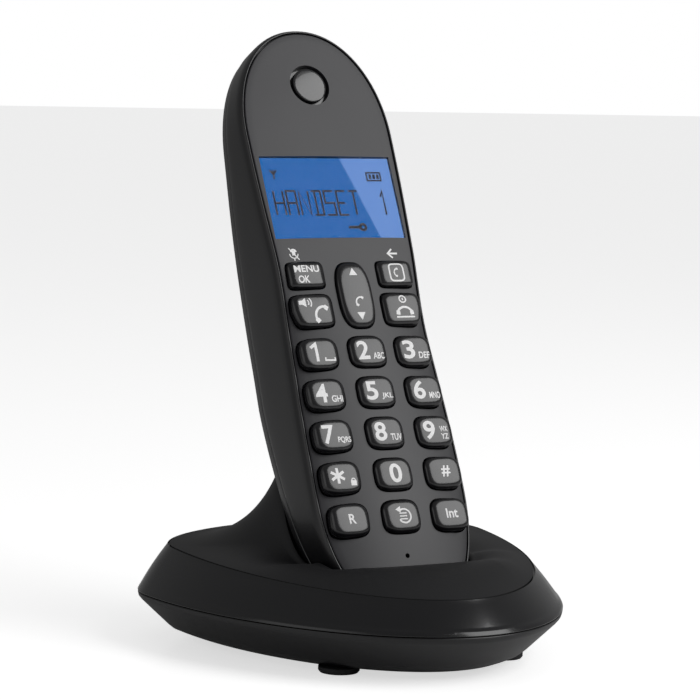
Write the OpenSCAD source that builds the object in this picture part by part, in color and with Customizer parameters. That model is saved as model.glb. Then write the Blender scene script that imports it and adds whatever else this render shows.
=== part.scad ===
// Cordless phone: a handset standing in its charging base.
// The handset is drawn in its own frame (x across, y into its depth, z along its
// length from the bottom end) and then leaned back into the cradle.

/* [Handset] */
// Length of the handset from its bottom end to its top end
handset_len = 157.5; // [150:0.5:195]
// Half the width of the handset at its widest
handset_half_w = 21.9; // [20:0.1:27]
// Depth of the side wall at its deepest, between face and back edge
handset_depth = 24; // [21:0.5:30]
// How far each side draws in at the waist
waist_cut = 1.45; // [0:0.05:2]
// Height of the rounded bottom end
bottom_round = 34; // [28:1:40]
// Height of the rounded top end
top_round = 30; // [24:1:36]
// Wall thickness of the handset shells
shell_wall = 1.8; // [1.2:0.1:2.2]
// How far the crown of the back stands behind the side walls
back_crown = 3; // [1:0.5:5]
// How far the face falls back at its edges beside the keys
face_sag = 2.6; // [0:0.1:3]

/* [Face plate] */
// Thickness of the face plate
plate_t = 1.5; // [1:0.1:1.8]
// Distance from the widest side of the handset to the edge of the face plate
plate_inset = 1.4; // [1.3:0.1:1.8]
// Width of the display window
window_w = 37.1; // [30:0.1:37.4]
// Height of the display window
window_h = 22.1; // [16:0.1:24]
// Height of the window's centre above the bottom end
window_s = 110.25; // [108:0.25:114]
// Radius of the earpiece badge
badge_r = 4.7; // [4:0.1:5.2]
// Distance from the top end to the centre of the badge
badge_drop = 16; // [14:0.5:19]

/* [Keys] */
// Distance from the handset's side to the middle of an outer number key
key_margin = 7.4; // [7.2:0.1:8]
// Distance between the rows of number keys
key_pitch_s = 10.75; // [10.2:0.05:11]
// Width of a number key
key_w = 10.3; // [9:0.1:10.4]
// Height of a number key
key_h = 8.3; // [7:0.1:8.4]
// Height of the lowest key row above the bottom end
key_row_s = 25; // [25:0.25:26]
// How far the keys stand out of the face plate
key_proud = 1.5; // [1:0.1:2]
// Clearance around a key in its hole
key_gap = 0.3; // [0.2:0.05:0.35]
// Travel of a key
key_travel = 0.8; // [0.4:0.1:1]

/* [Battery] */
// Radius of a battery cell
cell_r = 5.2; // [4.6:0.1:5.3]
// Length of a battery cell over its terminal
cell_len = 44.5; // [40:0.5:45]
// Half the width of the battery door
door_half_w = 14.5; // [13:0.5:15]
// Lower end of the battery door above the bottom end
door_s = 58; // [57:0.5:60]
// Length of the battery door
door_len = 51; // [50:0.5:52]
// Clearance around the battery door
door_gap = 0.3; // [0.2:0.05:0.4]

/* [Base] */
// Half the width of the base
base_half_w = 52.2; // [44:0.1:63]
// Length of the base from front to back
base_len = 106.8; // [96:0.1:130]
// Distance from the back of the base to its widest place
base_wide_y = 29.7; // [26:0.1:36]
// Height of the widest edge of the base
edge_z = 12.44; // [12:0.01:17]
// Height of the groove above the band at the front
groove_front_z = 19.37; // [19:0.01:23]
// Height of the groove above the band at the back
groove_back_z = 25.5; // [25:0.1:29]
// How far the groove lies inside the widest edge
groove_inset = 7.6; // [6:0.1:9]
// Wall thickness of the base shells
base_wall = 2; // [1.5:0.1:2.4]
// Thickness of the base's floor
floor_wall = 1.5; // [1.2:0.1:1.5]
// Height of the feet
foot_h = 1.4; // [1.2:0.1:1.4]

/* [Cradle] */
// Lean of the handset from upright
lean = 27; // [22:0.5:30]
// Height of the handset's bottom end above the table
seat_z = 12.3; // [12.3:0.1:17]
// Distance of the handset's bottom end behind the front of the base
seat_y = 29.91; // [28:0.01:36]
// Clearance between the handset and the cradle
cradle_gap = 0.7; // [0.5:0.1:1.2]
// Height of the cradle's front lip along the handset
lip_s = 12; // [10:0.5:14]
// Height of the cradle's back wall along the handset
back_s = 53; // [40:1:54]

/* [Hidden] */

// Shared small values
fine = 64; // sides of a round piece
eps = 0.01; // extra length that makes a cut go right through
end_steps = 8; // points along each rounded end of the handset
side_steps = 12; // points along each straight side of the handset
egg_steps = 24; // points from the front of the base to its back

// Handset outline
bottom_n = 2.4; // squareness of the bottom end
top_n = 2.1; // squareness of the top end
waist_s = handset_len * 0.52;
waist_span = 26;
ledge = 0.35; // width of the ledge under the face plate
spine_inset = handset_half_w - waist_cut - 0.4; // inset that leaves a thin spine
parting = 3.4; // the shells part this far in front of the back edge
badge_s = handset_len - badge_drop;

// Key layout
key_sides = 24;
key_step = 0.5; // how far the top of a key draws in
key_step_y = -0.7; // depth at which it does
tab_out = 0.8; // how far a key's tabs reach above and below it
tab_t = 0.5;
tab_play = 0.25; // clearance between a tab and the plate
rock_play = 0.7; // the same for the rocking key
air = 0.2; // gap between stacked inner pieces
talk_s = key_row_s + 5 * key_pitch_s;
menu_s = talk_s + 10.1;
upper_x = half_w(talk_s) - 7.75; // upper keys, from the middle
nav_s = (menu_s + talk_s) / 2 - 0.6;
mic_s = 15.3;

// Each key: name, middle across, middle along, width, height, squareness
number_names = [
  ["key_recall", "key_redial", "key_intercom"], ["key_star", "key_0", "key_hash"],
  ["key_7", "key_8", "key_9"], ["key_4", "key_5", "key_6"], ["key_1", "key_2", "key_3"]
];
number_keys = [for (row = [0 : 4]) for (col = [0 : 2])
  [number_names[row][col], (col - 1) * outer_key_x(row), key_row_s + row * key_pitch_s, key_w, key_h, 3.4]];
function outer_key_x(row) = full_half(key_row_s + row * key_pitch_s) - key_margin;
upper_keys = [
  ["key_menu", -upper_x, menu_s, 10, 7, 6], ["key_phonebook", upper_x, menu_s, 10, 7, 6],
  ["key_talk", -upper_x, talk_s + 0.6, 11.2, 8.8, 5], ["key_end", upper_x, talk_s + 0.6, 11.2, 8.8, 5],
  ["key_nav", 0, nav_s, 9.6, 17.6, 3]
];
keys = concat(number_keys, upper_keys);
// Depth of the front of a key's tabs, clear of the plate's curved back
function tab_y(k) = plate_t + (k[0] == "key_nav" ? rock_play : tab_play)
  + face_y(k[1] == 0 ? k[3] / 2 : abs(k[1]), k[2] - k[4] / 2 - tab_out);
mat_y = max([for (k = keys) tab_y(k)]) + tab_t + key_travel + air;
mat_w = 34;
mat_over = 5; // how far the mat reaches past the outer key rows
mat_t = 0.6;
mat_nub = 0.4; // nubs between the mat and the board
nub_r = 2;
board_y = mat_y + mat_t + mat_nub + air;
board_t = 1.2;
board_half_w = 14.5;

// Base outline
// The handset's top can stand further back than the base, so the longer of the two is centred
handset_reach = seat_y + max([for (d = [2.4, 5, 10, 16, spine_inset]) for (p = back_ring(d, 0))
  p[1] * cos(lean) + p[2] * sin(lean)]);
base_front_y = -max(base_len, handset_reach) / 2;
base_back_y = base_front_y + base_len;
base_wide = base_back_y - base_wide_y;
inner_inset = 28; // smallest ring that closes the lower shell's faces
egg_front_n = 1.9;
egg_back_n = 2;
facet_inset = 7.9; // lower end of the lower shell's sloped facet, in from the widest edge
facet_z = foot_h + 2.4;
floor_top = foot_h + floor_wall;
seat = [0, base_front_y + seat_y, seat_z];
floor_z = foot_h; // underside of the lower shell
pocket_n = 4.5; // squareness of the pocket
pocket_floor_s = -1.2; // floor of the pocket, along the handset
pocket_wall = 1.4; // thickness of the pocket's floor

// ---------- helpers ----------

function mix(a, b, t) = a + (b - a) * t;
function clamp01(t) = max(0, min(1, t));
function smooth(t) = let (u = clamp01(t)) u * u * (3 - 2 * u);
// Cosine and sine raised so that a circle turns into a squarer round
function sq_cos(a, n) = pow(max(0, cos(a)), 2 / n);
function sq_sin(a, n) = sign(sin(a)) * pow(abs(sin(a)), 2 / n);

// A half ring, from the axis at one end to the axis at the other, made whole
function whole(half) = concat(half,
  [for (i = [len(half) - 2 : -1 : 1]) [-half[i][0], half[i][1], half[i][2]]]);

// Solid skinned over rings that have the same number of points.
// A looped solid joins its last ring to its first; any other closes its ends.
module skin(rings, looped = false) {
  n = len(rings[0]);
  m = len(rings);
  walls = [for (k = [0 : looped ? m - 1 : m - 2]) for (i = [0 : n - 1])
    let (a = k * n, b = ((k + 1) % m) * n, j = (i + 1) % n)
    each [[a + i, a + j, b + j], [a + i, b + j, b + i]]];
  ends = looped ? [] : concat(strips(0, n, true), strips((m - 1) * n, n, false));
  polyhedron(points = [for (ring = rings) each ring], faces = concat(walls, ends));
}

// Triangles that close a ring by joining each point to its mirror image
function strips(first, n, flip) = [for (i = [0 : n / 2 - 1])
  let (a = i, b = i + 1, c = n - i - 1, d = (n - i) % n)
  each concat(b == c ? [] : [turn(first, [a, b, c], flip)],
    a == d ? [] : [turn(first, [a, c, d], flip)])];
function turn(first, t, flip) = flip
  ? [first + t[2], first + t[1], first + t[0]]
  : [first + t[0], first + t[1], first + t[2]];

// Rounded rectangle with n as its squareness, as a flat outline
function squircle(w, h, n, steps) = [for (i = [0 : steps - 1]) let (a = 360 * i / steps)
  [w / 2 * sign(cos(a)) * pow(abs(cos(a)), 2 / n), h / 2 * sq_sin(a, n)]];

// Upright plate in the handset's frame, from depth y0 back to depth y1
module upright(y0, y1) {
  translate([0, y1, 0]) rotate([90, 0, 0]) linear_extrude(y1 - y0) children();
}

// Cylinder that runs into the handset's depth
module into(x, s, y0, y1, r) {
  translate([x, y0, s]) rotate([-90, 0, 0]) cylinder(h = y1 - y0, r = r, $fn = fine);
}

// Box given by its low and high corners
module block(low, high) {
  translate(low) cube(high - low);
}

module docked() {
  translate(seat) rotate([-lean, 0, 0]) children();
}

// ---------- handset surfaces ----------

// Half the width of the handset at height s
function half_w(s) = handset_half_w - waist_cut * exp(-pow((s - waist_s) / waist_span, 2));
// The same with the rounded bottom end taken in
function full_half(s) = s >= bottom_round ? half_w(s)
  : half_w(s) * pow(1 - pow(1 - s / bottom_round, bottom_n), 1 / bottom_n);
// Depth of the back edge of the side wall at height s
function back_y(s) = handset_depth
  - handset_depth * 0.46 * pow(clamp01(1 - s / 62), 1.25)
  - handset_depth * 0.53 * smooth((s - 75) / (handset_len - 81.5));
// Depth of the face at x across and height s: it falls back at its edges and chin
function face_y(x, s) = mix(face_sag, 0.5, smooth((s - 72) / 24)) * pow(x / 20.4, 2)
  + 0.0015 * pow(max(0, 46 - s), 2);

// Right half of the handset outline, drawn in by d
function half_outline(d) = let (mid = handset_len - top_round - bottom_round) concat(
  [for (i = [0 : end_steps - 1])
    let (a = 90 * i / end_steps, s = bottom_round - (bottom_round - d) * sq_cos(a, bottom_n))
    [(half_w(s) - d) * sq_sin(a, bottom_n), s]],
  [for (i = [0 : side_steps])
    let (s = bottom_round + mid * i / side_steps)
    [half_w(s) - d, s]],
  [for (i = [1 : end_steps])
    let (a = 90 * i / end_steps, s = handset_len - top_round + (top_round - d) * sq_sin(a, top_n))
    [(half_w(s) - d) * (i == end_steps ? 0 : sq_cos(a, top_n)), s]]);

// Ring around the handset, drawn in by d, off the face (back = 0) or back edge (back = 1)
function shell_ring(d, back, off) = whole([for (p = half_outline(d))
  [p[0], mix(face_y(p[0], p[1]), back_y(p[1]), back) + off, p[1]]]);
// Stand-off of the domed back at a distance d in from the outline
function dome(d) = back_crown * (1 - pow(1 - clamp01(d / spine_inset), 2)) - 1.6 * pow(clamp01(1 - d / 2.4), 2);
function back_ring(d, drop) = shell_ring(d, 1, dome(d) - drop);

// Sheet that follows the face, from depth y0 to depth y1 below it, drawn in by d
module face_sheet(d, y0, y1) {
  steps = [for (k = [0 : 3]) mix(d, spine_inset, k / 3)];
  skin(concat([for (k = [3 : -1 : 0]) shell_ring(steps[k], 0, y0)],
    [for (k = [0 : 3]) shell_ring(steps[k], 0, y1)]));
}

// ---------- handset pieces ----------

module front_shell() color("#1d1e21") docked() difference() {
  skin([
    shell_ring(plate_inset - 0.25, 0, 0),
    shell_ring(plate_inset - 0.6, 0, -0.1),
    shell_ring(0.5, 0, 0.4),
    shell_ring(0.1, 0, 1.6),
    shell_ring(0, 0.3, 1),
    shell_ring(0, 0.7, -1),
    shell_ring(0.25, 1, -parting),
    shell_ring(0.25 + shell_wall, 1, -parting),
    shell_ring(0.2 + shell_wall, 0, plate_t + 1.5),
    shell_ring(plate_inset + ledge, 0, plate_t + 1.5),
    shell_ring(plate_inset + ledge, 0, plate_t + 0.1),
    shell_ring(plate_inset - 0.25, 0, plate_t + 0.1)
  ], looped = true);
  pad_blocks(0.05);
}

module rear_outer() skin([
  shell_ring(spine_inset, 1, dome(spine_inset) - shell_wall),
  back_ring(16, shell_wall), back_ring(10, shell_wall), back_ring(5, shell_wall),
  back_ring(2.6, shell_wall + 0.6), shell_ring(0.25 + shell_wall, 1, -parting + 0.15),
  shell_ring(0.25, 1, -parting + 0.15), back_ring(0.35, 0), back_ring(1.2, 0), back_ring(2.4, 0),
  back_ring(5, 0), back_ring(10, 0), back_ring(16, 0), back_ring(spine_inset, 0)
]);

// Column behind the battery door's outline, drawn in by gap
module door_column(gap) {
  block([-door_half_w + gap, back_y(door_s) / 2, door_s + gap],
    [door_half_w - gap, handset_depth + back_crown + 5, door_s + door_len - gap]);
}

module rear_shell() color("#1a1b1e") docked() difference() {
  rear_outer();
  door_column(0);
  for (x = screw_x) into(x, screw_s, 0, 60, screw_r + 0.2);
  upright_slots();
}

// Sound slots over the loudspeaker
module upright_slots() {
  for (i = [-2 : 2]) block([-6, 12, horn_s + i * 3 - 0.7], [6, 40, horn_s + i * 3 + 0.7]);
}

module battery_door() color("#1a1b1e") docked() intersection() {
  rear_outer();
  door_column(door_gap);
}

module key_holes() {
  for (k = keys) translate([k[1], k[2]])
    polygon(squircle(k[3] + 2 * key_gap, k[4] + 2 * key_gap, k[5], key_sides));
}

module window_hole(grow) translate([0, window_s]) square([window_w + 2 * grow, window_h + 2 * grow], center = true);

module face_plate() color("#2b2c2f") docked() difference() {
  face_sheet(plate_inset, 0, plate_t);
  upright(-3, 9) key_holes();
  upright(-3, 9) window_hole(0.2);
  into(0, badge_s, -3, 9, badge_r + 0.9);
  into(0, mic_s, -3, 9, 0.6);
}

module display_window() color("#3a8fe0") docked()
  block([-window_w / 2, 0.25, window_s - window_h / 2], [window_w / 2, 1.45, window_s + window_h / 2]);

module earpiece_badge() color("#17181a") docked() {
  into(0, badge_s, -0.2, plate_t + 0.1 + eps, badge_r);
  into(0, badge_s, plate_t + 0.1, plate_t + 0.8, badge_r + 1.6);
}

// Depth of the face behind a key's middle, so that the outer keys sit lower
function key_dip(x, s) = face_y(abs(x) * 0.7, s);

// The keys beside the rocker have one tab each, because they stand close together
function tab_ends(k) = k[0] == "key_menu" || k[0] == "key_phonebook" ? [1]
  : k[0] == "key_talk" || k[0] == "key_end" ? [-1] : [-1, 1];
// An outer key's tabs span its inner half, where the plate's back is shallow
module key_cap(k) {
  front = key_dip(k[1], k[2]);
  back = tab_y(k) + tab_t;
  tab_half = k[1] == 0 ? k[3] / 2 - 1.5 : k[3] / 4 - 0.25;
  tab_x = k[1] - sign(k[1]) * tab_half;
  upright(front - key_proud, front + key_step_y + eps) translate([k[1], k[2]])
    polygon(squircle(k[3] - 2 * key_step, k[4] - 2 * key_step, k[5], key_sides));
  upright(front + key_step_y, back) translate([k[1], k[2]])
    polygon(squircle(k[3], k[4], k[5], key_sides));
  for (end = tab_ends(k)) translate([0, 0, k[2] + end * (k[4] / 2 + tab_out) / 2])
    block([tab_x - tab_half, back - tab_t, -(k[4] / 2 + tab_out) / 2],
      [tab_x + tab_half, back, (k[4] / 2 + tab_out) / 2]);
}
module key(name) color("#141517") docked() for (k = keys) if (k[0] == name) key_cap(k);

module keypad_mat() color("#4a4c50") docked() {
  upright(mat_y, mat_y + mat_t) translate([0, (key_row_s + menu_s) / 2])
    square([mat_w, menu_s - key_row_s + 2 * mat_over], center = true);
  for (k = keys) into(k[1], k[2], mat_y + mat_t, mat_y + mat_t + mat_nub, nub_r);
}

lcd_y = plate_t + 0.8; // front of the LCD panel
lcd_t = 1.4;
lcd_half_h = 12.2;
light_y = lcd_y + lcd_t + 0.1; // front of the backlight
light_t = 1.3;
frame_y = light_y + light_t + 0.1; // front of the frame behind the backlight
frame_half_w = 16.5;
frame_half_h = 13;
frame_bar = 2; // width of the frame's side bars
module lcd_layer(y, t) block([-window_w / 2 + 0.5, y, window_s - lcd_half_h],
  [window_w / 2 - 0.5, y + t, window_s + lcd_half_h]);
module lcd_panel() color("#2f7fd6") docked() lcd_layer(lcd_y, lcd_t);
module lcd_backlight() color("#e8f0f8") docked() lcd_layer(light_y, light_t);

module lcd_frame() color("#e4e4e0") docked() difference() {
  block([-frame_half_w, frame_y, window_s - frame_half_h], [frame_half_w, board_y - 0.1, window_s + frame_half_h]);
  block([frame_bar - frame_half_w, frame_y - 1, window_s + frame_bar - frame_half_h],
    [frame_half_w - frame_bar, board_y + 1, window_s + frame_half_h - frame_bar]);
}

module handset_board() color("#1f6b3a") docked()
  block([-board_half_w, board_y, mic_s + 4], [board_half_w, board_y + board_t, badge_s - 13]);

speaker_y = plate_t + 1; // front of the earpiece speaker
speaker_r = 10;
speaker_t = 2.4;
magnet_r = 6;
magnet_t = 2;
module earpiece_speaker() color("#8c8f94") docked() {
  into(0, badge_s, speaker_y, speaker_y + speaker_t + eps, speaker_r);
  into(0, badge_s, speaker_y + speaker_t, speaker_y + speaker_t + magnet_t, magnet_r);
}

mic_y = plate_t + 3.2; // front of the microphone, behind the chin of the plate
mic_t = 2.4;
mic_r = 3;
module microphone() color("#b0b3b8") docked() into(0, mic_s, mic_y, mic_y + mic_t, mic_r);

horn_s = 42; // height of the hands-free loudspeaker
horn_y = board_y + board_t + 2;
horn_t = 3; // thickness of each of its two steps
horn_r = 11.5;
horn_magnet_r = 8;
module loudspeaker() color("#6e7176") docked() {
  into(0, horn_s, horn_y, horn_y + horn_t + eps, horn_magnet_r);
  into(0, horn_s, horn_y + horn_t, horn_y + 2 * horn_t, horn_r);
}

// Bent metal strip on the top end of the board
module antenna() color("#c9a64a") docked() {
  y = board_y + board_t;
  block([-11, y, badge_s - 20], [-10.4, y + 3, badge_s - 13.5]);
  block([-11, y + 2.4, badge_s - 20], [11, y + 3, badge_s - 15.5]);
  block([10.4, y, badge_s - 20], [11, y + 3, badge_s - 13.5]);
}

// Two cells lie side by side behind the board
cell_x = cell_r + 0.6;
cell_y = board_y + board_t + 1.5 + cell_r;
cell_s = door_s + 1.8;
tray_low = [-2 * cell_x - 1.2, board_y + board_t + 0.3, cell_s - 1.8];
tray_high = [2 * cell_x + 1.2, cell_y + 1.5, cell_s + cell_len + 4.2];
module battery_tray() color("#232427") docked() difference() {
  block(tray_low, tray_high);
  block(tray_low + [1, 1, 1], [tray_high[0] - 1, tray_high[1] + 1, tray_high[2] - 1]);
}

module battery_cells() color("#3f9a57") docked() for (side = [-1, 1])
  translate([side * cell_x, cell_y, cell_s + (side > 0 ? 2 : 1)])
    rotate([0, side > 0 ? 0 : 180, 0]) translate([0, 0, side > 0 ? 0 : -cell_len]) {
      cylinder(h = cell_len - 1, r = cell_r, $fn = fine);
      translate([0, 0, cell_len - 1 - eps]) cylinder(h = 1, r = 1.9, $fn = fine);
    }

// Conical springs press on the flat end of each cell
spring_coils = 3;
module coil_stack() for (i = [0 : spring_coils - 1]) translate([0, 0, 0.3 + 0.45 * i])
  rotate_extrude($fn = 48) translate([3.6 - 0.3 * i, 0]) circle(r = 0.3, $fn = 16);
module battery_springs() color("#c8ccd2") docked() {
  translate([cell_x, cell_y, cell_s + 0.5]) coil_stack();
  translate([-cell_x, cell_y, cell_s + cell_len + 2.5]) mirror([0, 0, 1]) coil_stack();
}

module battery_contacts() color("#d5d8dc") docked() for (side = [-1, 1]) for (end = [0, 1])
  block([side * cell_x - 4.2, cell_y - 4, cell_s + end * (cell_len + 2.6) - 0.1 + end * 0.1],
    [side * cell_x + 4.2, cell_y + 1.4, cell_s + end * (cell_len + 2.6) + 0.3 + end * 0.1]);

pad_x = 7; // charging pads, from the middle
pad_depth = 7.3; // middle of the charging pads, behind the face
pad_s = 0.5; // outer face of the charging pads, along the handset
module pad_blocks(gap) for (side = [-1, 1])
  block([side * pad_x - 2.2 - gap, pad_depth - 2 - gap, pad_s - gap], [side * pad_x + 2.2 + gap, pad_depth + 2 + gap, pad_s + 2]);
module charge_pads() color("#d9b65c") docked() pad_blocks(0);

screw_x = [-9, 9];
screw_s = 20;
screw_r = 1.9;
module handset_screws() color("#9a9da3") docked() for (x = screw_x) {
  into(x, screw_s, back_y(screw_s) - 3, back_y(screw_s) - 1, screw_r);
  into(x, screw_s, board_y + board_t + 1, back_y(screw_s) - 3 + eps, 1.1);
}

// ---------- base surfaces ----------

// Point of the base outline at angle a (-90 front, 90 back), drawn in by d, at height z
function egg(a, d, z) = let (front = a < 0, n = front ? egg_front_n : egg_back_n,
  reach = front ? base_len - base_wide_y : base_wide_y)
  [(base_half_w - d) * (abs(a) == 90 ? 0 : sq_cos(a, n)), base_wide + (reach - d) * sq_sin(a, n), z];
function step_angle(i) = -90 + 180 * i / egg_steps;
// The base outline's angles are turned forward so that they face the pocket
function outline_angle(a) = a - 27 * pow(cos(a), 2);
function groove_z(y) = mix(groove_front_z, groove_back_z, (y - base_front_y) / base_len);
function egg_ring(d, z) = whole([for (i = [0 : egg_steps]) egg(outline_angle(step_angle(i)), d, z)]);
// Ring that follows the sloping groove, drawn in by d and set off by dz
function groove_point(a, d, dz) = let (p = egg(outline_angle(a), groove_inset + d, 0))
  [p[0], p[1], groove_z(p[1]) + dz];
function groove_ring(d, dz) = whole([for (i = [0 : egg_steps]) groove_point(step_angle(i), d, dz)]);

// Point of the pocket's outline around the handset, out by gap, at height s along it
function pocket_point(a, s, gap) = let (
  half = full_half(max(s, 13)) + gap,
  front = face_y(0, max(s, 13)) - gap,
  back = back_y(max(s, 0)) + back_crown * clamp01(s / 11) + gap,
  y = (front + back) / 2 + (back - front) / 2 * sq_sin(a, pocket_n))
  to_world([half * (abs(a) == 90 ? 0 : sq_cos(a, pocket_n)), y, s]);
function to_world(p) = seat + [p[0], p[1] * cos(lean) + p[2] * sin(lean), p[2] * cos(lean) - p[1] * sin(lean)];
// Height of the pocket's rim along the handset: a low lip that sweeps up to the back wall
function rim_s(a) = lip_s + (back_s - lip_s) * pow((sin(a) + 1) / 2, 3);

// Upper surface of the cover, t = 0 at the groove and 1 at the pocket's rim
function cover_point(a, t, down) = let (
  g = groove_point(a, 0.3, 0),
  r = pocket_point(a, rim_s(a), cradle_gap + cover_lip),
  rise = mix(1, 2.3, clamp01((sin(a) + 0.6) / 1.6)),
  swell = 3.2 * sin(180 * t) * clamp01(-sin(a) * 0.8 + 0.35))
  [mix(g[0], r[0], t), mix(g[1], r[1], t), mix(g[2], r[2], pow(t, rise)) + swell - down];
function cover_ring(t, down) = whole([for (i = [0 : egg_steps]) cover_point(step_angle(i), t, down)]);
cover_lip = 1.6; // thickness of the rim around the pocket
function pocket_ring(k, gap, down) = whole([for (i = [0 : egg_steps]) let (a = step_angle(i))
  pocket_point(a, mix(pocket_floor_s - down, rim_s(a) - down, k), gap)]);

// ---------- base pieces ----------

module base_upper_cover() color("#202125") difference() {
  skin([
    pocket_shrunk(0), pocket_ring(0, cradle_gap, 0), pocket_ring(0.25, cradle_gap, 0),
    pocket_ring(0.6, cradle_gap, 0), pocket_ring(1, cradle_gap, -0.3),
    cover_ring(1, 0), cover_ring(0.92, 0), cover_ring(0.82, 0), cover_ring(0.7, 0), cover_ring(0.55, 0),
    cover_ring(0.4, 0), cover_ring(0.25, 0), cover_ring(0.12, 0), cover_ring(0, 0),
    groove_ring(0.3, -0.5), groove_ring(1.6, -0.5), groove_ring(1.6, -3), groove_ring(3, -3),
    cover_ring(0.06, base_wall),
    cover_ring(0.3, base_wall), cover_ring(0.6, base_wall), cover_ring(0.9, base_wall),
    pocket_ring(0.5, cradle_gap + cover_lip, base_wall / 2),
    pocket_ring(0, cradle_gap + pocket_wall, pocket_wall), pocket_shrunk(pocket_wall)
  ]);
  docked() for (side = [-1, 1]) block(
    [side * pad_x - pin_half - 0.4, pad_depth - pin_half - 0.4, -20],
    [side * pad_x + pin_half + 0.4, pad_depth + pin_half + 0.4, pocket_floor_s + 0.5]);
  translate(page_place) cylinder(h = 30, r = page_r + 0.35, center = true, $fn = fine);
}

// Small ring in the pocket's floor, from which the floor is closed
function pocket_shrunk(down) = whole([for (i = [0 : egg_steps]) let (
  p = pocket_point(step_angle(i), pocket_floor_s - down, cradle_gap),
  q = pocket_point(90, pocket_floor_s - down, cradle_gap),
  r = pocket_point(-90, pocket_floor_s - down, cradle_gap)) mix((q + r) / 2, p, 0.2)]);

module base_band() color("#1b1c20") skin([
  egg_ring(base_wall, edge_z), band_ring(0.4, -base_wall), groove_ring(1.3, -0.7), groove_ring(-0.1, -0.7),
  band_ring(0.7, 0.3), band_ring(0.35, 0.35), egg_ring(0.9, edge_z + 1.4), egg_ring(0, edge_z)
], looped = true);
// Ring on the band, k of the way from the widest edge to the groove, bulged out by out
function band_ring(k, out) = whole([for (i = [0 : egg_steps]) let (a = outline_angle(step_angle(i)),
  d = groove_inset * k - out, p = egg(a, d, 0)) [p[0], p[1], mix(edge_z, groove_z(p[1]), k)]]);

shell_top = edge_z - 0.3; // the lower shell ends under the band
rim_inset = base_wall + 0.8;
niche_ceiling = edge_z - 1.8;

// The lower shell as one cup, from the inside of its floor round its edge to the underside
module lower_cup() skin([
  egg_ring(inner_inset, floor_top), egg_ring(22, floor_top), egg_ring(14, floor_top + 0.4),
  egg_ring(base_wall + facet_inset, facet_z + base_wall), egg_ring(rim_inset, edge_z - 1.5),
  egg_ring(rim_inset, shell_top), egg_ring(0.1, shell_top), egg_ring(0.3, edge_z - 1.3),
  egg_ring(facet_inset, facet_z), egg_ring(10.5, floor_z + 1), egg_ring(13, floor_z + 0.2),
  egg_ring(22, floor_z), egg_ring(inner_inset, floor_z)
]);
// What the niche's walls may fill: the same form, kept inside the cup's own wall
module liner_form() skin([
  egg_ring(22, edge_z - 1), egg_ring(1.2, edge_z - 1), egg_ring(1.4, niche_ceiling),
  egg_ring(facet_inset + 0.9, facet_z + 0.6), egg_ring(11.5, floor_z + 1.3),
  egg_ring(14, floor_z + 0.6), egg_ring(22, floor_z + 0.6), egg_ring(inner_inset, floor_z + 0.6)
]);

module base_lower_shell() color("#17181b") difference() {
  union() {
    lower_cup();
    intersection() {
      liner_form();
      block([-niche_half_w - 1.5, niche_y - 1.5, 0], [niche_half_w + 1.5, base_len, edge_z + 5]);
    }
  }
  block([-niche_half_w, niche_y, -1], [niche_half_w, base_len, niche_ceiling]);
  for (x = socket_x) block([x - jack_w / 2 - 0.2, niche_y - 5, jack_z - 0.05],
    [x + jack_w / 2 + 0.2, niche_y + 1, jack_z + jack_h + 0.2]);
  for (p = base_screw_places) translate([p[0], p[1], -1]) cylinder(h = 8, r = screw_r + 0.3, $fn = fine);
}

board_z = edge_z - 1;
module base_board() color("#1f6b3a") block([-26, base_front_y + 61.4, board_z + 0.6], [26, niche_y - 2, board_z + 2.2]);

// Modular sockets face backward into a cable niche at the back of the underside
niche_half_w = 21;
niche_y = base_back_y - 17;
jack_w = 12.5;
jack_h = 7.4;
jack_z = floor_top + 0.1;
jack_deep = 13;
socket_x = [-10.5, 10.5];
module jack(x) difference() {
  block([x - jack_w / 2, niche_y - jack_deep, jack_z], [x + jack_w / 2, niche_y, jack_z + jack_h]);
  block([x - 4.9, niche_y - jack_deep + 2, jack_z + 1], [x + 4.9, niche_y + 1, jack_z + 6.6]);
}
module line_socket() color("#2a2b2e") jack(socket_x[0]);
module power_socket() color("#2a2b2e") jack(socket_x[1]);

page_r = 3.2;
page_place = cover_point(90, 0.26, 0);
module page_button() color("#2a2c31") translate(page_place) {
  translate([0, 0, -5]) cylinder(h = 6, r = page_r, $fn = fine);
  translate([0, 0, -6]) cylinder(h = 1, r = page_r + 1.2, $fn = fine);
}

// Sprung contacts reach up through the pocket's floor to the handset's pads
pin_half = 1.2;
module contact_pin(side) color("#d9b65c") docked() block(
  [side * pad_x - pin_half, pad_depth - pin_half, pocket_floor_s - 2.6],
  [side * pad_x + pin_half, pad_depth + pin_half, pad_s - 0.1]);
module contact_block() color("#303238") docked()
  block([-11, pad_depth - 2.4, pocket_floor_s - 4.4], [11, pad_depth + 2, pocket_floor_s - 3.6]);

base_screw_places = [for (side = [-1, 1]) each [[side * 29, base_front_y + 50.4], [side * 31, base_front_y + 75.4]]];
module base_screws() color("#9a9da3") for (p = base_screw_places) translate([p[0], p[1], floor_z + 0.4]) {
  cylinder(h = 1.6, r = screw_r, $fn = fine);
  cylinder(h = 9, r = 1.1, $fn = fine);
}

foot_places = [for (side = [-1, 1]) each [[side * 23, base_front_y + 29.9], [side * 25, base_front_y + 83.4]]];
module base_feet() color("#101113") for (p = foot_places) translate([p[0], p[1], 0]) rotate_extrude($fn = fine)
  polygon([[0, 0], [4.6, 0], [5, 0.5], [5, foot_h], [0, foot_h]]);

// ---------- assembly ----------

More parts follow.
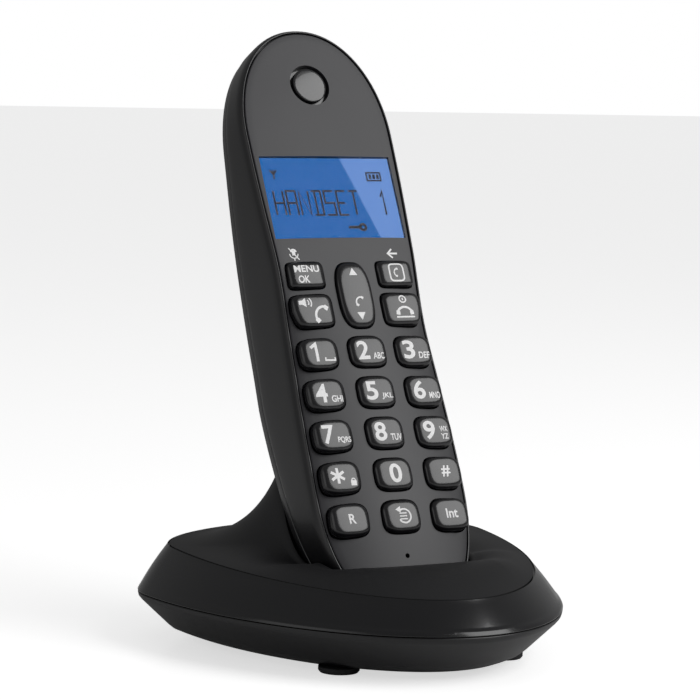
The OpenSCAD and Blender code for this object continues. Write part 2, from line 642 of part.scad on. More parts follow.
front_shell();
rear_shell();
face_plate();
display_window();
earpiece_badge();
key("key_menu");  // key_menu
key("key_nav");  // key_nav
key("key_phonebook");  // key_phonebook
key("key_talk");  // key_talk
key("key_end");  // key_end
key("key_1");  // key_1
key("key_2");  // key_2
key("key_3");  // key_3
key("key_4");  // key_4
key("key_5");  // key_5
key("key_6");  // key_6
key("key_7");  // key_7
key("key_8");  // key_8
key("key_9");  // key_9
key("key_star");  // key_star
key("key_0");  // key_0
key("key_hash");  // key_hash
key("key_recall");  // key_recall
key("key_redial");  // key_redial
key("key_intercom");  // key_intercom
keypad_mat();
lcd_panel();
lcd_backlight();
lcd_frame();
handset_board();
earpiece_speaker();
microphone();
loudspeaker();
antenna();
battery_tray();
battery_cells();
battery_springs();
battery_contacts();
battery_door();
charge_pads();
handset_screws();
base_upper_cover();
base_band();
base_lower_shell();
base_board();
line_socket();
power_socket();
page_button();
contact_pin(-1);  // charge_contact_left
contact_pin(1);  // charge_contact_right
contact_block();
base_screws();
base_feet();
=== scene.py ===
import math
from collections import namedtuple

import bmesh
import bpy
from mathutils import Matrix, Vector
from mathutils.geometry import tessellate_polygon


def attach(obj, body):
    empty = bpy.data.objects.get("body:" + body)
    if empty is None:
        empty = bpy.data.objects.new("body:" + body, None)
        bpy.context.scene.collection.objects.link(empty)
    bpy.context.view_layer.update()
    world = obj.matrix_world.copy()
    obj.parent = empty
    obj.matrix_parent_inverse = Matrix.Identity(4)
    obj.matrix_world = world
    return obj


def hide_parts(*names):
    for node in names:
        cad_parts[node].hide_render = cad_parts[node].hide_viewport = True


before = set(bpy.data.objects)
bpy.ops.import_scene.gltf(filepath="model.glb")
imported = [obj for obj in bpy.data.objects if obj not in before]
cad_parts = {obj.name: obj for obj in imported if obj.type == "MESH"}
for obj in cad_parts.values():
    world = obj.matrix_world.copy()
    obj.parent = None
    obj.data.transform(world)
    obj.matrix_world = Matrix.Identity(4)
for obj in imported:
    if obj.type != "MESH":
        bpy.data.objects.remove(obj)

bl_info = {
    "name": "Cordless phone with base",
    "version": (1, 0, 0),
    "blender": (4, 5, 0),
    "location": "3D View > Sidebar > Phone",
    "description": "Builds the visible pieces of a cordless phone around its CAD frame",
    "category": "Object",
}

MM = 0.001

# Handset sizes in millimetres, as in the CAD source
LENGTH = 157.5
HALF_W = 21.9
DEPTH = 24.0
WAIST_CUT = 1.45
WAIST_SPAN = 26.0
BOTTOM_ROUND, BOTTOM_N = 34.0, 2.4
TOP_ROUND, TOP_N = 30.0, 2.1
WALL = 1.8
CROWN = 3.0
SAG = 2.6
PARTING = 3.4
SPINE = HALF_W - WAIST_CUT - 0.4
EDGE_DROP, EDGE_SPAN = 1.6, 2.4
HEEL_CUT, HEEL_S, HEEL_POWER = 0.46, 62, 1.25
TAPER_CUT, TAPER_S, TAPER_SPAN = 0.53, 75, LENGTH - 81.5
SAG_TOP, SAG_S, SAG_SPAN, SAG_REACH = 0.5, 72, 24, 20.4
CHIN, CHIN_S = 0.0015, 46
PLATE_T = 1.5
PLATE_INSET = 1.4
LEDGE = 0.35
WINDOW_W, WINDOW_H, WINDOW_S, WINDOW_PLAY = 37.1, 22.1, 110.25, 0.2
LENS_Y, LENS_T = 0.22, 0.28
LIT_Y, LIT_T = 0.95, 0.5
BADGE_S, BADGE_R, BADGE_RECESS = LENGTH - 16.0, 4.7, 0.9
MIC_S, MIC_R = 15.3, 0.6
DOOR_HALF_W, DOOR_S, DOOR_LEN, DOOR_GAP = 14.5, 58.0, 51.0, 0.3
SCREW_X, SCREW_S, SCREW_HOLE = 9.0, 20.0, 2.1
HORN_S, HORN_PITCH, HORN_HALF_W, SLOT_HALF = 42.0, 3, 6, 0.7
HORN_CUT, SCREW_CUT = (12, 40), (2, 60)  # depths that the cuts in the rear shell start and end at
THROUGH = (-3, 9)  # the same for the cuts in the face plate
DOOR_TOP = DEPTH + CROWN + 5  # depth beyond the back that the door's column is cut to
PLATE_RINGS, PLATE_SPREAD = 13, 0.9

# Key layout
ROW_S, PITCH_S = 25.0, 10.75
KEY_W, KEY_H, KEY_MARGIN = 10.3, 8.3, 7.4
KEY_PROUD, KEY_GAP = 1.5, 0.3
KEY_DOME, KEY_N = 0.4, 3.4
TALK_SHIFT, TALK_DRAW = 0.6, 0.2
UPPER_MARGIN, MENU_RISE, NAV_DROP = 7.75, 10.1, 0.6
KEY_REACH, KEY_DOME_RINGS = 0.7, 9
MENU_SIZE, TALK_SIZE, NAV_SIZE = (10, 7, 6), (11.2, 8.8, 5), (9.6, 17.6, 3)  # width, height, squareness

# Base sizes
BASE_HALF_W, BASE_LEN, BASE_BACK = 52.2, 106.8, 29.7
EDGE_Z, FLOOR_Z, BASE_WALL, FLOOR_WALL = 12.44, 1.4, 2.0, 1.5
FACET_INSET, FACET_Z = 7.9, FLOOR_Z + 2.4
GROOVE_FRONT, GROOVE_BACK, GROOVE_INSET = 19.37, 25.5, 7.6
FRONT_N, BACK_N = 1.9, 2.0
LEAN = math.radians(27)
BASE_FRONT = -55.488
BASE_REAR = BASE_FRONT + BASE_LEN
SEAT = (0.0, BASE_FRONT + 29.91, 12.3)
POCKET_N, POCKET_FLOOR = 4.5, -1.2
LIP_S, BACK_S = 12.0, 53.0
CRADLE_GAP, COVER_LIP = 0.7, 1.6
NICHE_HALF_W, NICHE_Y = 21.0, BASE_REAR - 17
SOCKET_X, JACK_W, JACK_H, JACK_DEEP = 10.5, 12.5, 7.4, 13.0
PAGE_HOLE, PAGE_T = 3.55, 0.26  # hole radius, and its place between the groove and the cradle's rim
PAGE_DEEP = 15  # how far above and below its middle the hole is cut
EGG_STEPS, EGG_TURN = 88, math.radians(27)
COVER_RISE, COVER_SWELL, COVER_STEPS = 2.3, 3.2, 26
BAND_BULGE = 1.5
PIN_X, PIN_HALF_W, PIN_Y, PIN_DEEP = 7, 1.6, (5.7, 8.9), -20
JACK_PLAY, JACK_HEADROOM, JACK_OVERRUN = 0.2, 0.3, 1
POCKET_ROOT, CROWN_SPAN = 13, 11
RISE_START, RISE_SPAN = 0.6, 1.6

# Studio camera: azimuth, elevation and roll in degrees, distance and target in metres
VIEW = (-29.364, 5.661, 1.5)
VIEW_DISTANCE = 0.7329
VIEW_TARGET = (-0.01037, -0.00448, 0.07467)
VIEW_LENS = 154.3

# Studio: half the floor's side in millimetres; each light's size, place and aim in metres
FLOOR_HALF, FLOOR_T, FLOOR_DROP = 6000, 4, 0.02
FLOOR_GLOW = 0.62  # brightness that the camera sees added to the floor
MAIN_SIZE, MAIN_SPOT = 0.7, (0.5, -0.6, 0.62)
SIDE_SIZE, SIDE_SPOT = 0.6, (-0.7, -0.1, 0.25)
LIGHT_AIM = (0, 0, 0.08)

# Display: a painted glare lightens the part beyond a slanted line, and letters are strokes in a cell
GLARE_SLOPE, GLARE_START, GLARE_END = (0.95, 0.31), 0.0075, 0.0081
GLARE_GAIN, GLARE_LIFT = 1.25, 0.13
CELL_X, CELL_STEP, CELL_W, CELL_FOOT, CELL_H, STROKE = 2.0, 3.6, 2.6, -4.6, 6.6, 0.55
LETTER_BOLD = 0.022


# ---------- shape formulas, in millimetres ----------

def mix(a, b, t):
    return a + (b - a) * t


def clamp01(t):
    return max(0.0, min(1.0, t))


def smooth(t):
    u = clamp01(t)
    return u * u * (3 - 2 * u)


def raised(value, n):
    """Cosine or sine raised so that a circle turns into a squarer round."""
    return math.copysign(abs(value) ** (2 / n), value) if abs(value) > 1e-9 else 0.0


def half_w(s):
    return HALF_W - WAIST_CUT * math.exp(-((s - LENGTH * 0.52) / WAIST_SPAN) ** 2)


def full_half(s):
    if s >= BOTTOM_ROUND:
        return half_w(s)
    return half_w(s) * (1 - (1 - s / BOTTOM_ROUND) ** BOTTOM_N) ** (1 / BOTTOM_N)


def back_y(s):
    low = DEPTH * HEEL_CUT * clamp01(1 - s / HEEL_S) ** HEEL_POWER
    return DEPTH - low - DEPTH * TAPER_CUT * smooth((s - TAPER_S) / TAPER_SPAN)


def face_y(x, s):
    curve = mix(SAG, SAG_TOP, smooth((s - SAG_S) / SAG_SPAN)) * (x / SAG_REACH) ** 2
    return curve + CHIN * max(0.0, CHIN_S - s) ** 2


def half_outline(d, ends=28, sides=44):
    points = []
    for i in range(ends):
        a = math.pi / 2 * i / ends
        s = BOTTOM_ROUND - (BOTTOM_ROUND - d) * raised(math.cos(a), BOTTOM_N)
        points.append(((half_w(s) - d) * raised(math.sin(a), BOTTOM_N), s))
    middle = LENGTH - TOP_ROUND - BOTTOM_ROUND
    for i in range(sides + 1):
        s = BOTTOM_ROUND + middle * i / sides
        points.append((half_w(s) - d, s))
    for i in range(1, ends + 1):
        a = math.pi / 2 * i / ends
        s = LENGTH - TOP_ROUND + (TOP_ROUND - d) * raised(math.sin(a), TOP_N)
        points.append(((half_w(s) - d) * (0 if i == ends else raised(math.cos(a), TOP_N)), s))
    return points


def whole(half):
    """A half ring made whole by its mirror image."""
    return half + [(-p[0], p[1], p[2]) for p in half[-2:0:-1]]


def shell_ring(d, back, off):
    return whole([(x, mix(face_y(x, s), back_y(s), back) + off, s) for x, s in half_outline(d)])


def dome(d):
    return CROWN * (1 - (1 - clamp01(d / SPINE)) ** 2) - EDGE_DROP * clamp01(1 - d / EDGE_SPAN) ** 2


def back_ring(d, drop=0.0):
    return shell_ring(d, 1, dome(d) - drop)


def to_world(p):
    """From the handset's own frame to the table's."""
    x, y, s = p
    c, n = math.cos(LEAN), math.sin(LEAN)
    return (SEAT[0] + x, SEAT[1] + y * c + s * n, SEAT[2] + s * c - y * n)


def step_angle(i):
    return -math.pi / 2 + math.pi * i / EGG_STEPS


def outline_angle(a):
    return a - EGG_TURN * math.cos(a) ** 2


def egg(a, d, z):
    front = a < 0
    n = FRONT_N if front else BACK_N
    reach = BASE_LEN - BASE_BACK if front else BASE_BACK
    x = 0 if abs(abs(a) - math.pi / 2) < 1e-9 else (BASE_HALF_W - d) * raised(math.cos(a), n)
    return (x, BASE_REAR - BASE_BACK + (reach - d) * raised(math.sin(a), n), z)


def groove_z(y):
    return mix(GROOVE_FRONT, GROOVE_BACK, (y - BASE_FRONT) / BASE_LEN)


def base_ring(point):
    return whole([point(step_angle(i)) for i in range(EGG_STEPS + 1)])


def egg_ring(d, z):
    return base_ring(lambda a: egg(outline_angle(a), d, z))


def groove_point(a, d, dz):
    p = egg(outline_angle(a), GROOVE_INSET + d, 0)
    return (p[0], p[1], groove_z(p[1]) + dz)


def groove_ring(d, dz):
    return base_ring(lambda a: groove_point(a, d, dz))


def band_ring(k, out):
    def point(a):
        p = egg(outline_angle(a), GROOVE_INSET * k - out, 0)
        return (p[0], p[1], mix(EDGE_Z, groove_z(p[1]), k))
    return base_ring(point)


def pocket_point(a, s, gap):
    half = full_half(max(s, POCKET_ROOT)) + gap
    front = face_y(0, max(s, POCKET_ROOT)) - gap
    back = back_y(max(s, 0)) + CROWN * clamp01(s / CROWN_SPAN) + gap
    y = (front + back) / 2 + (back - front) / 2 * raised(math.sin(a), POCKET_N)
    x = 0 if abs(abs(a) - math.pi / 2) < 1e-9 else half * raised(math.cos(a), POCKET_N)
    return to_world((x, y, s))


def rim_s(a):
    return LIP_S + (BACK_S - LIP_S) * ((math.sin(a) + 1) / 2) ** 3


def cover_point(a, t, down=0.0):
    g = groove_point(a, 0.3, 0)
    r = pocket_point(a, rim_s(a), CRADLE_GAP + COVER_LIP)
    rise = mix(1, COVER_RISE, clamp01((math.sin(a) + RISE_START) / RISE_SPAN))
    swell = COVER_SWELL * math.sin(math.pi * t) * clamp01(-math.sin(a) * 0.8 + 0.35)
    return (mix(g[0], r[0], t), mix(g[1], r[1], t), mix(g[2], r[2], max(0.0, t) ** rise) + swell - down)


def cover_ring(t, down=0.0):
    return base_ring(lambda a: cover_point(a, t, down))


def pocket_ring(k, gap, down):
    return base_ring(lambda a: pocket_point(a, mix(POCKET_FLOOR - down, rim_s(a) - down, k), gap))


def pocket_shrunk(down):
    s = POCKET_FLOOR - down
    q, r = pocket_point(math.pi / 2, s, CRADLE_GAP), pocket_point(-math.pi / 2, s, CRADLE_GAP)

    def point(a):
        p = pocket_point(a, s, CRADLE_GAP)
        return tuple(mix((q[i] + r[i]) / 2, p[i], 0.2) for i in range(3))
    return base_ring(point)


# ---------- meshes ----------

def circle(x, s, r, steps=72):
    return [(x + r * math.cos(2 * math.pi * i / steps), s + r * math.sin(2 * math.pi * i / steps))
            for i in range(steps)]


def place(points, docked):
    return [Vector(to_world(p) if docked else p) * MM for p in points]


def skin(rings, looped=False):
    """Points and faces of a solid skinned over rings of equal length."""
    n, m = len(rings[0]), len(rings)
    points = [p for ring in rings for p in ring]
    faces = []
    for k in range(m if looped else m - 1):
        a, b = k * n, ((k + 1) % m) * n
        faces += [(a + i, a + (i + 1) % n, b + (i + 1) % n, b + i) for i in range(n)]
    if not looped:
        for first in (0, (m - 1) * n):
            for i in range(n // 2):
                quad = []
                for j in (i, i + 1, (n - i - 1) % n, (n - i) % n):
                    if first + j not in quad:
                        quad.append(first + j)
                if len(quad) > 2:
                    faces.append(tuple(quad))
    return points, faces


def prism(outline, y0, y1):
    """Points and faces of an outline across and along the handset, drawn through its depth."""
    n = len(outline)
    points = [(x, y0, s) for x, s in outline] + [(x, y1, s) for x, s in outline]
    faces = [tuple(range(n)), tuple(range(2 * n - 1, n - 1, -1))]
    faces += [(i, (i + 1) % n, n + (i + 1) % n, n + i) for i in range(n)]
    return points, faces


def box_solid(low, high):
    (x0, y0, z0), (x1, y1, z1) = low, high
    return prism([(x0, z0), (x1, z0), (x1, z1), (x0, z1)], y0, y1)


def window_box(y0, y1, grow=0.0):
    """A solid as wide and high as the display window."""
    half_width, half_height = WINDOW_W / 2 + grow, WINDOW_H / 2 + grow
    return box_solid((-half_width, y0, WINDOW_S - half_height), (half_width, y1, WINDOW_S + half_height))


def joined(solids):
    points, faces = [], []
    for p, f in solids:
        faces += [tuple(i + len(points) for i in face) for face in f]
        points += p
    return points, faces


def bare(name, solid, docked):
    mesh = bpy.data.meshes.new(name)
    mesh.from_pydata(place(solid[0], docked), [], solid[1])
    bm = bmesh.new()
    bm.from_mesh(mesh)
    bmesh.ops.remove_doubles(bm, verts=bm.verts[:], dist=1e-7)
    bmesh.ops.recalc_face_normals(bm, faces=bm.faces[:])
    bm.to_mesh(mesh)
    bm.free()
    obj = bpy.data.objects.new(name, mesh)
    bpy.context.scene.collection.objects.link(obj)
    return obj


def carve(obj, solid, docked, operation="DIFFERENCE"):
    """Cuts a solid out of a piece, or keeps only what is inside it."""
    cutter = bare("cutter", solid, docked)
    modifier = obj.modifiers.new("carve", "BOOLEAN")
    modifier.object, modifier.operation, modifier.solver = cutter, operation, "EXACT"
    bpy.context.view_layer.update()
    graph = bpy.context.evaluated_depsgraph_get()
    result = bpy.data.meshes.new_from_object(obj.evaluated_get(graph))
    obj.modifiers.clear()
    obj.data = result
    bpy.data.objects.remove(cutter)
    if not len(result.polygons):
        raise RuntimeError(f"nothing is left of {obj.name}")


def dress(obj, body, material, replaced=(), sharp=32):
    """Gives a piece its finish and its place among the moving bodies."""
    obj.data.shade_smooth()
    obj.data.set_sharp_from_angle(angle=math.radians(sharp))
    obj.data.materials.clear()
    obj.data.materials.append(material)
    if replaced:
        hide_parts(*replaced)
    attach(obj, body)


# ---------- finishes ----------

def moulded_group():
    """Moulded plastic: slow colour drift, handled patches and a fine grain."""
    name = "Moulded surface"
    if name in bpy.data.node_groups:
        return bpy.data.node_groups[name]
    group = bpy.data.node_groups.new(name, "ShaderNodeTree")
    face = group.interface
    face.new_socket("Colour", in_out="INPUT", socket_type="NodeSocketColor")
    for label, value in (("Drift", 0.1), ("Roughness", 0.4), ("Spread", 0.06), ("Grain Scale", 900.0)):
        face.new_socket(label, in_out="INPUT", socket_type="NodeSocketFloat").default_value = value
    face.new_socket("Colour", in_out="OUTPUT", socket_type="NodeSocketColor")
    face.new_socket("Roughness", in_out="OUTPUT", socket_type="NodeSocketFloat")
    face.new_socket("Height", in_out="OUTPUT", socket_type="NodeSocketFloat")
    make, link = group.nodes.new, group.links.new
    given, out, place_at = make("NodeGroupInput"), make("NodeGroupOutput"), make("ShaderNodeTexCoord")
    grain, patches = make("ShaderNodeTexNoise"), make("ShaderNodeTexNoise")
    patches.inputs["Scale"].default_value = 38.0
    patches.inputs["Detail"].default_value = 5.0
    grain.inputs["Detail"].default_value = 3.0
    for noise in (grain, patches):
        link(place_at.outputs["Object"], noise.inputs["Vector"])
    link(given.outputs["Grain Scale"], grain.inputs["Scale"])
    shift, scaled, rough, shade, tint = (make("ShaderNodeMath") for _ in range(5))
    shift.operation, shift.inputs[1].default_value = "SUBTRACT", 0.5
    link(patches.outputs["Fac"], shift.inputs[0])
    scaled.operation, rough.operation = "MULTIPLY", "ADD"
    link(shift.outputs[0], scaled.inputs[0])
    link(given.outputs["Spread"], scaled.inputs[1])
    link(scaled.outputs[0], rough.inputs[0])
    link(given.outputs["Roughness"], rough.inputs[1])
    shade.operation, tint.operation = "MULTIPLY", "ADD"
    link(shift.outputs[0], shade.inputs[0])
    link(given.outputs["Drift"], shade.inputs[1])
    link(shade.outputs[0], tint.inputs[0])
    tint.inputs[1].default_value = 1.0
    scale = make("ShaderNodeVectorMath")
    scale.operation = "SCALE"
    link(given.outputs["Colour"], scale.inputs[0])
    link(tint.outputs[0], scale.inputs["Scale"])
    link(scale.outputs[0], out.inputs["Colour"])
    link(rough.outputs[0], out.inputs["Roughness"])
    link(grain.outputs["Fac"], out.inputs["Height"])
    return group


def finish(name, colour, rough, spread=0.06, drift=0.12, grain=900.0, height=0.00002, strength=0.2,
           metallic=0.0, coat=0.0, specular=0.5):
    """A plastic, rubber or metal finish with its own grain."""
    if name in bpy.data.materials:
        return bpy.data.materials[name]
    material = bpy.data.materials.new(name)
    material.use_nodes = True
    nodes, links = material.node_tree.nodes, material.node_tree.links
    shader = nodes["Principled BSDF"]
    surface = nodes.new("ShaderNodeGroup")
    surface.node_tree = moulded_group()
    for label, value in (("Colour", (*colour, 1)), ("Drift", drift), ("Roughness", rough),
                         ("Spread", spread), ("Grain Scale", grain)):
        surface.inputs[label].default_value = value
    bump = nodes.new("ShaderNodeBump")
    bump.inputs["Strength"].default_value = strength
    bump.inputs["Distance"].default_value = height
    links.new(surface.outputs["Colour"], shader.inputs["Base Color"])
    links.new(surface.outputs["Roughness"], shader.inputs["Roughness"])
    links.new(surface.outputs["Height"], bump.inputs["Height"])
    links.new(bump.outputs["Normal"], shader.inputs["Normal"])
    shader.inputs["Metallic"].default_value = metallic
    shader.inputs["Coat Weight"].default_value = coat
    shader.inputs["Specular IOR Level"].default_value = specular
    return material


def screen_finish(colour):
    """Backlit display, with a painted reflection that makes it lighter beyond a slanted line."""
    material = bpy.data.materials.new("Backlit display")
    material.use_nodes = True
    nodes, links = material.node_tree.nodes, material.node_tree.links
    shader = nodes["Principled BSDF"]
    centre = Vector(to_world((0, 0, WINDOW_S))) * MM
    where = nodes.new("ShaderNodeTexCoord")
    dot = nodes.new("ShaderNodeVectorMath")
    dot.operation = "DOT_PRODUCT"
    up = Vector((0, math.sin(LEAN), math.cos(LEAN)))
    slope = Vector((1, 0, 0)) * GLARE_SLOPE[0] + up * GLARE_SLOPE[1]
    dot.inputs[1].default_value = slope
    # painted reflection: the display's colour is lightened beyond a slanted line fixed in object space,
    # standing in for glare on the lens
    painted_glare_mask = nodes.new("ShaderNodeMapRange")
    painted_glare_mask.inputs["From Min"].default_value = slope.dot(centre) + GLARE_START
    painted_glare_mask.inputs["From Max"].default_value = slope.dot(centre) + GLARE_END
    blend = nodes.new("ShaderNodeMix")
    blend.data_type = "RGBA"
    blend.inputs["A"].default_value = (*colour, 1)
    blend.inputs["B"].default_value = (*[min(1.0, c * GLARE_GAIN + GLARE_LIFT) for c in colour], 1)
    links.new(where.outputs["Object"], dot.inputs[0])
    links.new(dot.outputs["Value"], painted_glare_mask.inputs["Value"])
    links.new(painted_glare_mask.outputs["Result"], blend.inputs["Factor"])
    shader.inputs["Base Color"].default_value = (0, 0, 0, 1)
    links.new(blend.outputs["Result"], shader.inputs["Emission Color"])
    shader.inputs["Emission Strength"].default_value = 1.0
    shader.inputs["Roughness"].default_value = 0.5
    shader.inputs["Specular IOR Level"].default_value = 0.1
    return material


def lens_finish():
    """Clear smooth plastic that mostly shows what lies under it."""
    material = bpy.data.materials.new("Clear lens")
    material.use_nodes = True
    shader = material.node_tree.nodes["Principled BSDF"]
    shader.inputs["Base Color"].default_value = (0.01, 0.012, 0.016, 1)
    shader.inputs["Roughness"].default_value = 0.06
    shader.inputs["Alpha"].default_value = 0.08
    return material


def floor_finish():
    """Smooth white, with a glow that only the camera sees."""
    material = finish("White floor", (0.93, 0.93, 0.93), 0.32, drift=0.0, spread=0.02, strength=0.0)
    nodes, links = material.node_tree.nodes, material.node_tree.links
    shader = nodes["Principled BSDF"]
    path, glow = nodes.new("ShaderNodeLightPath"), nodes.new("ShaderNodeMath")
    glow.operation, glow.inputs[1].default_value = "MULTIPLY", FLOOR_GLOW
    links.new(path.outputs["Is Camera Ray"], glow.inputs[0])
    links.new(glow.outputs[0], shader.inputs["Emission Strength"])
    shader.inputs["Emission Color"].default_value = (1, 1, 1, 1)
    return material


def lit_up(tree, sky, output):
    """Makes the surround plain white where it is seen, whatever light it gives."""
    seen = tree.nodes.new("ShaderNodeBackground")
    path, blend = tree.nodes.new("ShaderNodeLightPath"), tree.nodes.new("ShaderNodeMixShader")
    tree.links.new(path.outputs["Is Camera Ray"], blend.inputs[0])
    tree.links.new(sky.outputs[0], blend.inputs[1])
    tree.links.new(seen.outputs[0], blend.inputs[2])
    tree.links.new(blend.outputs[0], output.inputs["Surface"])
    seen.inputs["Color"].default_value = (1, 1, 1, 1)


# ---------- keys ----------

TALK_S = ROW_S + 5 * PITCH_S
UPPER_X = half_w(TALK_S) - UPPER_MARGIN
MENU_S = TALK_S + MENU_RISE
NAV_S = (MENU_S + TALK_S) / 2 - NAV_DROP
ROW_NAMES = (("recall", "redial", "intercom"), ("star", "0", "hash"),
             ("7", "8", "9"), ("4", "5", "6"), ("1", "2", "3"))


Key = namedtuple("Key", "name x s width height squareness")


def key_table():
    """The twenty keys, each with the place of its middle, its size and how square it is."""
    table = []
    for row, names in enumerate(ROW_NAMES):
        s = ROW_S + row * PITCH_S
        for col, name in enumerate(names):
            table.append(Key(name, (col - 1) * (full_half(s) - KEY_MARGIN), s, KEY_W, KEY_H, KEY_N))
    for name, x, s, size in (("menu", -UPPER_X, MENU_S, MENU_SIZE), ("phonebook", UPPER_X, MENU_S, MENU_SIZE),
                             ("talk", -UPPER_X, TALK_S + TALK_SHIFT, TALK_SIZE),
                             ("end", UPPER_X, TALK_S + TALK_SHIFT, TALK_SIZE), ("nav", 0, NAV_S, NAV_SIZE)):
        table.append(Key(name, x, s, *size))
    return table


def key_outline(key, scale=1.0, grow=0.0, steps=64):
    """Outline of a key in its own plane; the talk and end keys draw in towards their outer foot."""
    points = []
    for i in range(steps):
        a = 2 * math.pi * i / steps
        u = (key.width / 2 + grow) * raised(math.cos(a), key.squareness) * scale
        v = (key.height / 2 + grow) * raised(math.sin(a), key.squareness) * scale
        if key.name in ("talk", "end") and v < 0 and u * key.x > 0:
            u *= 1 + TALK_DRAW * v / (key.height / 2)
        points.append((u, v))
    return points


def key_front(key):
    return face_y(abs(key.x) * KEY_REACH, key.s) - KEY_PROUD


def key_top(key, u, v):
    """Depth of a key's domed top at a place in its own plane."""
    n = key.squareness
    reach = (abs(2 * u / key.width) ** n + abs(2 * v / key.height) ** n) ** (1 / n)
    return key_front(key) + KEY_DOME * min(1.0, reach) ** 2


# The rounded edge of a key: how far in, and how far below the top
KEY_EDGE = ((0, 2.8), (0, 1.0), (0.06, 0.66), (0.2, 0.36), (0.42, 0.16), (0.7, 0.04))


def key_solid(key):
    half = min(key.width, key.height) / 2
    rings = []
    for inset, rise in KEY_EDGE:
        f = 1 - inset / half
        y = key_front(key) + KEY_DOME * f * f + rise
        rings.append([(key.x + u, y, key.s + v) for u, v in key_outline(key, f)])
    last = 1 - KEY_EDGE[-1][0] / half
    for i in range(1, KEY_DOME_RINGS + 1):
        f = last * (1 - i / (KEY_DOME_RINGS + 0.5))
        y = key_front(key) + KEY_DOME * f * f
        rings.append([(key.x + u, y, key.s + v) for u, v in key_outline(key, f)])
    return skin(rings)


# ---------- legends ----------

class Artwork:
    """Flat marks in a plane: x across, s along, gathered as points and faces."""

    def __init__(self):
        self.points, self.faces = [], []

    def add(self, points, faces):
        first = len(self.points)
        self.points += points
        self.faces += [tuple(i + first for i in face) for face in faces]

    def polygon(self, points):
        flat = [Vector((x, s, 0)) for x, s in points]
        self.add(points, tessellate_polygon([flat]))

    def line(self, points, width, closed=False):
        """A ribbon of even width along the points, mitred at its corners."""
        n, sides = len(points), []
        for i, (x, s) in enumerate(points):
            before = points[i - 1] if i or closed else points[i]
            after = points[(i + 1) % n] if i < n - 1 or closed else points[i]
            a = Vector((x - before[0], s - before[1]))
            b = Vector((after[0] - x, after[1] - s))
            a = a.normalized() if a.length else b.normalized()
            b = b.normalized() if b.length else a
            across = Vector((-a.y - b.y, a.x + b.x)).normalized()
            reach = width / 2 / max(0.5, across.dot(Vector((-a.y, a.x))))
            sides += [(x + across.x * reach, s + across.y * reach),
                      (x - across.x * reach, s - across.y * reach)]
        count = n if closed else n - 1
        quads = [(2 * i, 2 * i + 1, (2 * i + 3) % (2 * n), (2 * i + 2) % (2 * n)) for i in range(count)]
        self.add(sides, quads)

    def arc(self, x, s, r, start, end, width, steps=20):
        angles = [math.radians(mix(start, end, i / steps)) for i in range(steps + 1)]
        closed = abs(end - start) >= 360
        points = [(x + r * math.cos(a), s + r * math.sin(a)) for a in angles]
        self.line(points[:-1] if closed else points, width, closed)

    def text(self, body, x, s, w, h):
        """Lettering centred at x, s and fitted to a width and a height."""
        curve = bpy.data.curves.new("lettering", "FONT")
        curve.body, curve.offset, curve.resolution_u = body, LETTER_BOLD, 6
        obj = bpy.data.objects.new("lettering", curve)
        bpy.context.scene.collection.objects.link(obj)
        bpy.context.view_layer.update()
        graph = bpy.context.evaluated_depsgraph_get()
        mesh = bpy.data.meshes.new_from_object(obj.evaluated_get(graph))
        xs, ss = [v.co.x for v in mesh.vertices], [v.co.y for v in mesh.vertices]
        fit = (w / (max(xs) - min(xs)), h / (max(ss) - min(ss)))
        middle = ((max(xs) + min(xs)) / 2, (max(ss) + min(ss)) / 2)
        self.add([(x + (v.co.x - middle[0]) * fit[0], s + (v.co.y - middle[1]) * fit[1])
                  for v in mesh.vertices], [tuple(p.vertices) for p in mesh.polygons])
        bpy.data.objects.remove(obj)
        bpy.data.meshes.remove(mesh)

    def receiver(self, x, s, size, turn):
        """Small telephone receiver, a bowed bar with two thick ends."""
        turn = math.radians(turn)
        bow = [(size * 0.5 * math.cos(math.radians(a)), size * 0.5 * math.sin(math.radians(a)) - size * 0.28)
               for a in range(25, 156, 10)]

        def turned(p):
            return (x + p[0] * math.cos(turn) - p[1] * math.sin(turn),
                    s + p[0] * math.sin(turn) + p[1] * math.cos(turn))
        self.line([turned(p) for p in bow], size * 0.13)
        for side in (-1, 1):
            lobe = [(side * size * px, size * ps) for px, ps in
                    ((0.53, 0.02), (0.56, -0.2), (0.33, -0.24), (0.3, -0.06), (0.4, 0.06))]
            self.polygon([turned(p) for p in lobe])

    def drape(self, name, surface, shift, lift=0.035, sink=0.05):
        """Thin solid marks laid on a surface given as a depth at x, s."""
        bm = bmesh.new()
        verts = [bm.verts.new((x, 0, s)) for x, s in self.points]
        made = set()
        for face in self.faces:
            if frozenset(face) not in made:
                made.add(frozenset(face))
                bm.faces.new([verts[i] for i in face])
        bmesh.ops.triangulate(bm, faces=bm.faces[:])
        for _ in range(2):
            long = [e for e in bm.edges if e.calc_length() > 0.8]
            if long:
                bmesh.ops.subdivide_edges(bm, edges=long, cuts=1)
                bmesh.ops.triangulate(bm, faces=bm.faces[:])
        new = bmesh.ops.extrude_face_region(bm, geom=bm.faces[:])
        raised_verts = {v for v in new["geom"] if isinstance(v, bmesh.types.BMVert)}
        for v in bm.verts:
            x, s = v.co.x, v.co.z
            y = surface(x, s) + (-lift if v in raised_verts else sink)
            v.co = Vector(to_world((x + shift[0], y, s + shift[1]))) * MM
        bmesh.ops.recalc_face_normals(bm, faces=bm.faces[:])
        mesh = bpy.data.meshes.new(name)
        bm.to_mesh(mesh)
        bm.free()
        obj = bpy.data.objects.new(name, mesh)
        bpy.context.scene.collection.objects.link(obj)
        return obj


LETTERS = {"2": "ABC", "3": "DEF", "4": "GHI", "5": "JKL", "6": "MNO", "7": "PQRS", "8": "TUV"}


